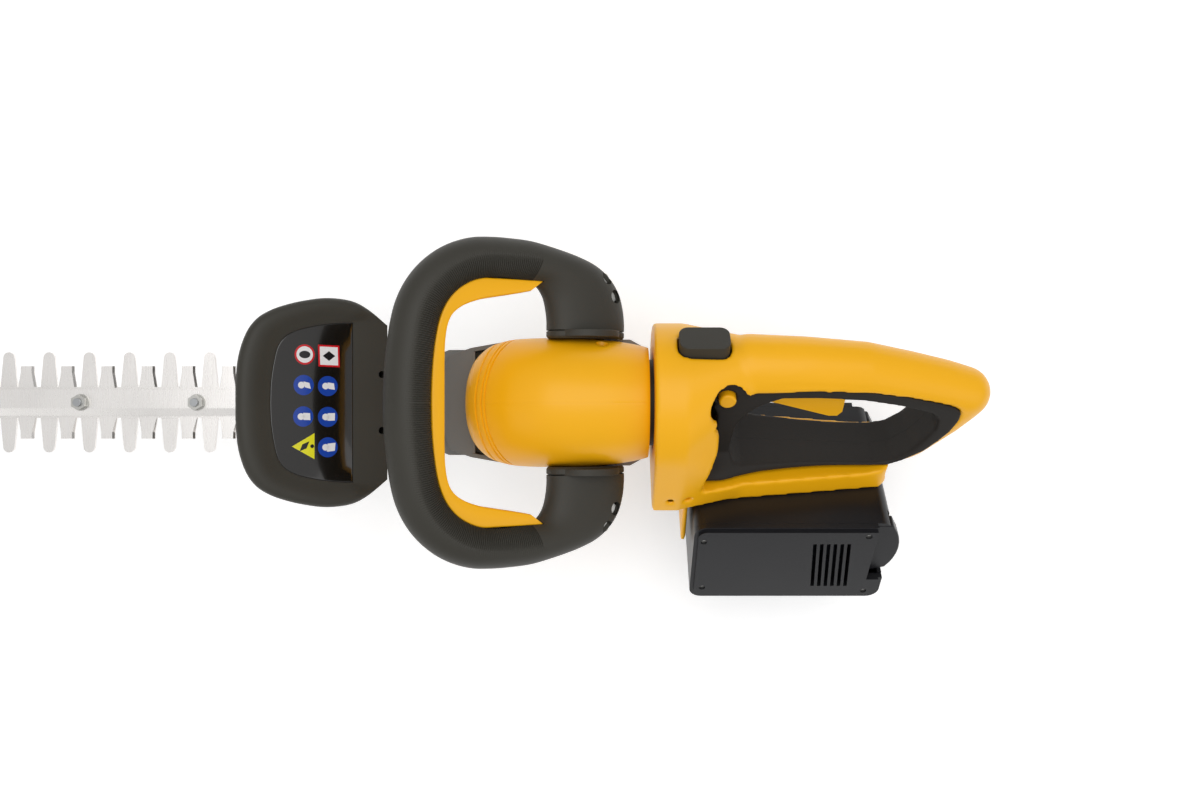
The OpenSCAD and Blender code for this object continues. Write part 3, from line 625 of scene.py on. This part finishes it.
LEVER = measured([(-117.5, 0, -108, 0), (-117.2, 15, -108, 14), (-116.2, 30, -108, 28),
                  (-114, 45, -107.4, 42), (-110.5, 57.5, -105.2, 52.5), (-105, 68, -101, 59),
                  (-97, 76, -93.5, 64), (-84, 82, -82, 68), (-71, 82.5, -70, 70.4),
                  (-53, 82.5, -58, 72.6), (-37, 82.3, -46.8, 74.8)])
SLOT = track(-8.6, -23.5, [(-55, 83, -60, 71.5, 9), (-36, 82.5, -46, 71.5, 9)])
lever = loft("front_lever_bar", even_rows(LEVER, BAR_STEP), 24, bar_point(LEVER, BAR_TALL))
dress(lever, "lever_body", yellow_abs, "yellow_abs", "front_lever", angle=40)
carve(handle, loft("lever_slot", even_rows(SLOT, BAR_STEP), 24, bar_point(SLOT, SLOT_TALL)))
for side in (-1, 1):
    for x, y in ((13, 87), (19, 74)):
        carve(handle, rod("screw_well", 4.8, (x, side * y, 4.5), (x, side * y, 20), 32, LOOP))
lower, upper = seam_halves(handle, ("handle_shell_lower", "handle_shell_upper"),
                           LOOP.translation, LOOP.to_3x3() @ Vector((0, 0, 1)))
for half, node_name in ((lower, "bale_handle_lower"), (upper, "bale_handle_upper")):
    dress(half, "housing", dark_nylon, "dark_nylon", node_name, angle=32)


# %% [markdown]
# ## Collars of the handle
# Each arm ends against a round plate at the side of the motor housing. The arm's own section
# runs on for a few millimetres, with a fine gap in it, so that arm and plate look like two
# mouldings that are screwed together.

# %% Collars
STUB_ROUNDNESS = 0.84                      # as the arm's own section is at its end


def collar_point(side):
    """A corner of the stub between arm and plate; its row is a distance from the middle."""
    def point(row, turn):
        ox, _, ix, _, tall = HANDLE[-1][1:]
        angle = turn * 2 * math.pi
        across = ripple(math.cos(angle), STUB_ROUNDNESS)
        up = ripple(math.sin(angle), STUB_ROUNDNESS)
        y, sink = row
        half = (ox - ix) / 2 - sink
        middle = (ox + ix) / 2
        return LOOP @ (Vector((middle + half * across, side * y, (tall - sink) * up)) * MM)
    return point


plates = softened("handle_collars", "collar_plates", 1.6, "housing")
stub_rows = [(44.2, 1.2), (45.4, 0.2), (46, 0.0), (48.6, 0.0), (49.1, 0.3), (49.5, 1.3)]
for side in (-1, 1):
    stub = loft("collar_stub", stub_rows, 44, collar_point(side))
    modify(plates, "BOOLEAN", object=stub, operation="UNION", solver="EXACT")
    bpy.data.objects.remove(stub)
print("collars", len(plates.data.polygons))

# %% [markdown]
# ## Hand guard
# The guard is a moulded plate with a broad rounded rim on three sides, and no rim at its foot.
# Its skin is a loft of closed rings: the outermost ring is the outline, the innermost is the
# edge of the sunk label, and the rings between rise over the rim and fall again.

# %% Guard outlines
OUTLINE = [(0, 0.5, 55.1), (1, 14.2, 65.7), (2, 26.8, 71.6), (3, 44, 73), (4, 60, 70.6),
           (5, 73.6, 66.9), (6, 84, 62.6), (7, 92.6, 56.6), (8, 99.3, 47), (9, 104.2, 32),
           (10, 106, 15), (11, 106.2, 0)]
LABEL = [(0, 25.6, 56.4), (1.6, 34, 56.0), (3, 44, 54.9), (4.4, 55, 52.8), (5.6, 65.5, 49.8),
         (6.8, 73.4, 45.4), (7.8, 78.4, 38.6), (8.8, 81.2, 28), (10, 83.2, 14), (11, 83.8, 0)]
RIM_START, RIM_BLEND = 9, 5                # corner of a ring where the rim begins, and its ramp
FOOT_HEIGHT = 3.4                          # the guard is this thick where it has no rim


def ring_spots(stops, foot):
    """Half a ring from the middle of its foot to its tip: (reach towards the blades, half width)."""
    spots = [(foot, stops[0][2] * i / 8) for i in range(8)]
    spots += [tuple(blend_rows(stops, 11 * i / 44)) for i in range(45)]
    return spots


def guard_point(row, turn):
    """A corner of the guard's skin; a row is (share of the way to the label, height)."""
    share, height = row
    spots = len(OUTER) * 2 - 2
    k = round(turn * spots) % spots
    side = 1 if k < len(OUTER) else -1
    k = k if k < len(OUTER) else spots - k
    reach = OUTER[k][0] * (1 - share) + INNER[k][0] * share
    wide = OUTER[k][1] * (1 - share) + INNER[k][1] * share
    swell = max(0.0, min(1.0, (k - RIM_START) / RIM_BLEND))
    swell = swell * swell * (3 - 2 * swell)
    z = min(height, FOOT_HEIGHT) * (1 - swell) + height * swell
    return GUARD @ (Vector((-reach, side * wide, z)) * MM)


OUTER, INNER = ring_spots(OUTLINE, 0.5), ring_spots(LABEL, 25.6)
RIM = [(0.03, 0.0), (0.0, 0.7), (0.0, 3.2), (0.02, 4.6), (0.06, 5.9), (0.12, 7.0), (0.2, 7.7),
       (0.3, 8.0), (0.42, 7.8), (0.55, 7.0), (0.68, 5.9), (0.8, 4.8), (0.9, 4.0), (0.96, 3.6),
       (0.985, 3.4), (1.0, 3.1), (1.0, 2.2)]
guard = loft("hand_guard", RIM, len(OUTER) * 2 - 2, guard_point)
print("guard skin", len(guard.data.polygons))

# %% Guard lug and screw holes
only_nothing()
bpy.ops.mesh.primitive_cube_add(size=1, location=(0, 0, 0))
lug = bpy.context.object
lug.matrix_world = (GUARD @ Matrix.Translation(Vector((-4.5, 0, -4)) * MM)
                    @ Matrix.Diagonal((9 * MM, 60 * MM, 10 * MM, 1)))
bpy.ops.object.transform_apply(location=True, rotation=True, scale=True)
modify(lug, "BEVEL", width=1.2 * MM, segments=3)
modify(guard, "BOOLEAN", object=lug, operation="UNION", solver="EXACT")
bpy.data.objects.remove(lug)
for side in (-1, 1):
    carve(guard, rod("lug_hole", 2.6, (-4.5, side * 20, -20), (-4.5, side * 20, 10), 24, GUARD))
dress(guard, "housing", dark_nylon, "dark_nylon", "guard", angle=30)

# %% [markdown]
# ## Guard label and its signs
# A glossy black plate lies in the guard's seat, and eight small printed signs stand on it. The
# signs here are plain coloured rounds, a square and a triangle with simple marks, each about a
# tenth of a millimetre thick, so that they need no picture.

# %% Label plate
LABEL_MIDDLE, LABEL_REACH, LABEL_WIDE = 54, 28, 52   # middle of the plate and its half sizes


def label_point(row, turn):
    """A corner of the label plate; a row is (inset in millimetres, height)."""
    inset, height = row
    spots = len(INNER) * 2 - 2
    k = round(turn * spots) % spots
    side = 1 if k < len(INNER) else -1
    k = k if k < len(INNER) else spots - k
    reach, wide = INNER[k]
    reach = LABEL_MIDDLE + (reach - LABEL_MIDDLE) * (1 - inset / LABEL_REACH)
    return GUARD @ (Vector((-reach, side * wide * (1 - inset / LABEL_WIDE), height)) * MM)


label = loft("label_plate", [(0.3, 2.22), (0.3, 2.8), (0.5, 2.95), (0.8, 3.0)],
             len(INNER) * 2 - 2, label_point)
dress(label, "housing", label_gloss, "label_gloss", "guard_label", angle=40)


# %% Signs
def printed(name, code):
    """Glossy printing ink under a clear film."""
    return moulded(name, code, 0.22, grain_mm=3.0, bump=0.01, vary=0.03, settings={"Coat Weight": 0.4})


def tile(corners, radius, place, z, thick, turn=0.0, wide=1.0):
    """A thin flat shape on the label: a regular outline with its middle at (reach, y)."""
    only_nothing()
    bpy.ops.mesh.primitive_circle_add(vertices=corners, radius=radius * MM, fill_type="NGON",
                                      location=(0, 0, 0))
    shape = bpy.context.object
    bpy.ops.object.mode_set(mode="EDIT")
    bpy.ops.mesh.select_all(action="SELECT")
    bpy.ops.mesh.extrude_region_move(TRANSFORM_OT_translate={"value": (0, 0, thick * MM)})
    bpy.ops.mesh.select_all(action="SELECT")
    bpy.ops.mesh.normals_make_consistent(inside=False)
    bpy.ops.object.mode_set(mode="OBJECT")
    shape.matrix_world = (GUARD @ Matrix.Translation(Vector((-place[0], place[1], z)) * MM)
                          @ Matrix.Rotation(math.radians(turn), 4, "Z") @ Matrix.Diagonal((wide, 1, 1, 1)))
    bpy.ops.object.transform_apply(location=True, rotation=True, scale=True)
    return shape


def printed_set(name, finish, shapes):
    """Join thin shapes of one colour into one printed piece."""
    only_nothing()
    for shape in shapes:
        shape.select_set(True)
    bpy.context.view_layer.objects.active = shapes[0]
    if len(shapes) > 1:
        bpy.ops.object.join()
    shapes[0].name = name
    dress(shapes[0], "housing", finish, "label_gloss", angle=30)


ROUNDS = [(60.7, 12.1), (43.8, 11.5), (61, -9.6), (43.8, -10), (43.8, -31.2)]
RING_SPOT, SQUARE_SPOT = (60, 33.2), (43, 32.5)
INK, INK_THICK = 2.95, 0.12                # the first layer starts just inside the plate
SECOND, THIRD = 3.05, 3.17                 # starts of the layers printed over it
printed_set("signs_red", printed("printed_red", "cc1420"),
            [tile(48, 7.0, RING_SPOT, INK, INK_THICK),
             tile(4, 11.0, SQUARE_SPOT, INK, INK_THICK, 45, 0.95)])
printed_set("signs_blue", printed("printed_blue", "1440a4"),
            [tile(48, 7.0, spot, INK, INK_THICK) for spot in ROUNDS])
printed_set("signs_yellow", printed("printed_yellow", "e6e01e"),
            [tile(3, 10.4, (58.4, -30.2), INK, INK_THICK, 90)])
printed_set("signs_dark", printed("printed_black", "16161a"),
            [tile(24, 1.3, (54.8, -30.2), SECOND, 0.1), tile(4, 2.0, (60.2, -30.2), SECOND, 0.1, 45, 2.4),
             tile(24, 2.6, RING_SPOT, THIRD, 0.1, 0, 1.5), tile(4, 3.4, SQUARE_SPOT, THIRD, 0.1, 0, 1.3)])
marks = [tile(48, 5.7, RING_SPOT, SECOND, 0.14), tile(4, 9.2, SQUARE_SPOT, SECOND, 0.14, 45, 0.95)]
for i, (reach, y) in enumerate(ROUNDS):
    marks += [tile(24, 2.3, (reach + 1.6, y), SECOND, 0.1),
              tile(4, 3.6, (reach - 2.4, y), SECOND, 0.1, 45, 0.6 + 0.15 * i)]
printed_set("signs_white", printed("printed_white", "e9e9ea"), marks)

# %% [markdown]
# ## Cutting blades
# The teeth are punched from strip and then ground along their flanks, which leaves a narrow
# slanted face that mirrors something darker than the flat does. Bevelling the flank's top edge
# gives that face. Only the edges of the teeth are chosen, by their place and the way they face.

# %% Ground teeth
STRIP_EDGE = 12                            # teeth stand out beyond this half width of the strip


def ground(obj, widths):
    """Bevel the teeth's top flank edges: pairs of (way they face along X, width in mm)."""
    top = max(v.co.z for v in obj.data.vertices)
    for sign, wide in widths:
        only(obj)
        bpy.ops.object.mode_set(mode="EDIT")
        bpy.ops.mesh.select_mode(type="EDGE")
        bpy.ops.mesh.select_all(action="DESELECT")
        bpy.ops.object.mode_set(mode="OBJECT")
        mesh = obj.data
        sides = {}
        for face in mesh.polygons:
            if abs(face.normal.z) < 0.3:
                for key in face.edge_keys:
                    sides[key] = face.normal.copy()
        chosen = 0
        for edge in mesh.edges:
            a, b = (mesh.vertices[i].co for i in edge.vertices)
            facing = sides.get(tuple(sorted(edge.vertices)))
            if (facing and facing.x * sign > 0.5 and abs(a.z - top) < 1e-4 and abs(b.z - top) < 1e-4
                    and abs((a.y + b.y) / 2) > STRIP_EDGE * MM and (a - b).length > 4 * MM):
                edge.select = True
                chosen += 1
        bpy.ops.object.mode_set(mode="EDIT")
        bpy.ops.mesh.bevel(offset=wide * MM, offset_type="WIDTH", segments=1, affect="EDGES",
                           clamp_overlap=True)
        bpy.ops.object.mode_set(mode="OBJECT")
        print(obj.name, chosen, "edges ground", wide, "mm")


upper = cad_copy("upper_blade", "upper_teeth")
ground(upper, ((1, 1.9), (-1, 0.5)))
dress(upper, "upper_blade_body", blade_steel, "blade_steel", "upper_blade", angle=20)
bpy.ops.object.shade_flat()
lower = cad_copy("lower_blade", "lower_teeth")
ground(lower, ((1, 0.6), (-1, 0.3)))
dress(lower, "lower_blade_body", blade_steel, "blade_steel", "lower_blade", angle=20)
bpy.ops.object.shade_flat()

# %% Guide bar, nuts and studs
FOLD_Y, FOLD_CLEAR, FOLD_DROP = -0.0043, -0.006, 1.1     # a step along the bar: line, side, drop
bar = cad_copy("guide_bar", "guide_bar_folded")
only(bar)
bpy.ops.object.mode_set(mode="EDIT")
bpy.ops.mesh.select_all(action="SELECT")
bpy.ops.mesh.bisect(plane_co=(0, FOLD_Y, 0), plane_no=(0, 1, 0))
bpy.ops.object.mode_set(mode="OBJECT")
bar_top = max(v.co.z for v in bar.data.vertices)
for v in bar.data.vertices:
    if v.co.y < FOLD_CLEAR and v.co.z > bar_top - 0.0003:
        v.co.z -= FOLD_DROP * MM
modify(bar, "BEVEL", width=0.35 * MM, segments=2, limit_method="ANGLE",
       angle_limit=math.radians(50))
dress(bar, "housing", blade_steel, "blade_steel", "guide_bar", angle=20)
bpy.ops.object.shade_flat()
softened("blade_nuts", "lock_nuts", 0.5, "housing", 2)
softened("blade_studs", "shouldered_studs", 0.3, "housing", 2)
softened("bar_screws", "bar_screw_heads", 0.3, "housing", 2)


# %% [markdown]
# ## Front housing
# The grey gear case, its cover and the frame below the dome are castings and mouldings with
# plain forms. Copies of the CAD shapes get the small radius that a mould leaves on every edge.

# %% Front housing parts
softened("gear_case", "gear_case_cast", 1.6, "housing")
softened("gear_case_cover", "gear_cover_cast", 1.0, "housing")
softened("base_housing", "base_shell", 1.5, "housing")
softened("guard_bracket", "guard_wedge", 1.2, "housing")
softened("swivel_hub", "swivel_barrel", 0.8, "housing")

# %% [markdown]
# ## Rear handle
# The rear handle is one soft flowing form, moulded in two halves. The CAD halves are built up
# from plain solids, so a copy of both is fused into an even skin of small faces, which is relaxed
# until the joins between those solids flow into each other. It is then cut at the parting plane.

# %% Flowing shells
def fused(names, name, voxel_mm, rounds):
    """Join copies of CAD nodes into one skin of even faces, and relax it."""
    parts = [cad_copy(node_name, name) for node_name in names]
    only(parts[0])
    for part in parts[1:]:
        part.select_set(True)
    bpy.ops.object.join()
    modify(parts[0], "REMESH", mode="VOXEL", voxel_size=voxel_mm * MM, adaptivity=0.0)
    modify(parts[0], "SMOOTH", factor=0.5, iterations=rounds)
    return parts[0]


UPRIGHT = REAR.to_3x3() @ Vector((0, 1, 0))
shell = fused(("rear_housing_left", "rear_housing_right"), "rear_shell", 1.3, 14)
right, left = seam_halves(shell, ("rear_shell_right", "rear_shell_left"), REAR.translation, UPRIGHT)
for half, node_name in ((right, "rear_housing_right"), (left, "rear_housing_left")):
    modify(half, "BEVEL", width=0.35 * MM, segments=1, limit_method="ANGLE",
           angle_limit=math.radians(60))
    dress(half, "rear_handle", yellow_abs, "yellow_abs", node_name, angle=40)

# %% Grip ring
ring = fused(("grip_ring_left", "grip_ring_right"), "grip_ring", 1.0, 10)
FOOT = [(130, 15.0), (151, 15.0), (165, 10.5), (182, 6.0), (220, 1.2), (259, 0.4), (330, 0.0)]
FLARE_TOP, FLARE_TALL = -28, 13            # the foot flares out below this height, over this fall
FLARE_IN, FLARE_WIDE = 9, 6                # and only beyond this half width, over this distance
for v in ring.data.vertices:
    spot = REAR.inverted() @ v.co / MM
    low = max(0.0, min(1.0, (FLARE_TOP - spot.z) / FLARE_TALL))
    out = max(0.0, min(1.0, (abs(spot.y) - FLARE_IN) / FLARE_WIDE))
    along = max(FOOT[0][0], min(FOOT[-1][0], spot.x))
    spread = blend_rows(FOOT, along)[0] * low * low * (3 - 2 * low) * out
    spot.y += math.copysign(spread, spot.y)
    v.co = REAR @ (spot * MM)
right, left = seam_halves(ring, ("grip_right", "grip_left"), REAR.translation, UPRIGHT)
for half, node_name in ((right, "grip_ring_right"), (left, "grip_ring_left")):
    modify(half, "BEVEL", width=0.25 * MM, segments=1, limit_method="ANGLE",
           angle_limit=math.radians(60))
    dress(half, "rear_handle", grip_rubber, "grip_rubber", node_name, angle=40)

# %% [markdown]
# ## Trigger and buttons
# Everything that a finger presses has generous radii.

# %% Trigger and buttons
softened("trigger", "squeeze_trigger", 1.6, "trigger_body")
softened("lock_off_button", "lock_off_cap", 1.6, "lock_off")
softened("swivel_lock_button", "swivel_lock_pad", 2.4, "swivel_lock", 4)

# %% [markdown]
# ## Battery pack
# The pack is satin black plastic, with vented side covers of the same finish. Its edges have a
# small radius, and the latches stand a little proud at its back.

# %% Battery pack
softened("battery_case", "pack_case", 1.6, "battery")
softened("battery_cover_left", "pack_cover_left", 1.0, "battery")
softened("battery_cover_right", "pack_cover_right", 1.0, "battery")
softened("battery_latch_left", "latch_pad_left", 1.2, "latch_left")
softened("battery_latch_right", "latch_pad_right", 1.2, "latch_right")
